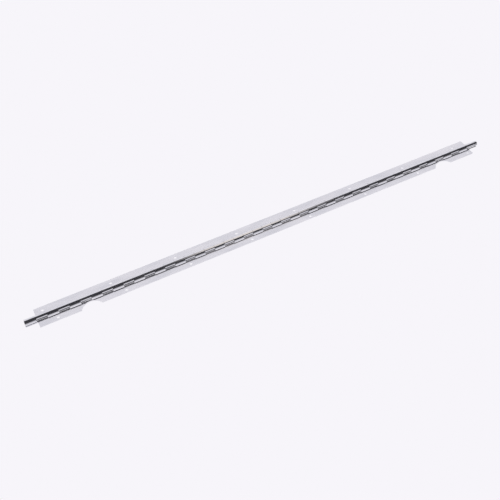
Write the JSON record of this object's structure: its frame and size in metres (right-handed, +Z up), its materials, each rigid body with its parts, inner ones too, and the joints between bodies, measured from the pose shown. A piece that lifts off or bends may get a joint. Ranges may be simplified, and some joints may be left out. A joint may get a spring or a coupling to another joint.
{
  "type": "piano hinge",
  "caption": "Long steel piano hinge lying open: two rolled sheet leaves on one pin, screw holes in each leaf, round notches in the front leaf's edge.",
  "frame": {"origin": "under the pin's axis, halfway along the barrel, on the plane of the leaves' undersides; the back leaf is 3.6 mm wider than the front one, so the footprint's centre lies 1.8 mm towards +Y", "axes": "+X along the pin, +Y towards the back leaf's outer edge, +Z up on the barrel side"},
  "size_m": [1.2286, 0.0508, 0.0129],
  "materials": {
    "back_leaf_steel": "satin sheet with a polished barrel",
    "front_leaf_steel": "satin sheet with a polished barrel",
    "pin_steel": "drawn bright wire",
    "collar_steel": "polished"
  },
  "bodies": {
    "back": {"back_leaf": "back_leaf_steel", "hinge_pin": "pin_steel", "end_collar": "collar_steel"},
    "front": {"front_leaf": "front_leaf_steel"}
  },
  "joints": [
    {"name": "leaf_fold", "type": "hinge", "parent": "back", "child": "front", "pos_m": [0, 0, 0.00645], "axis": [-1, 0, 0], "range_deg": [-90, 195]}
  ]
}
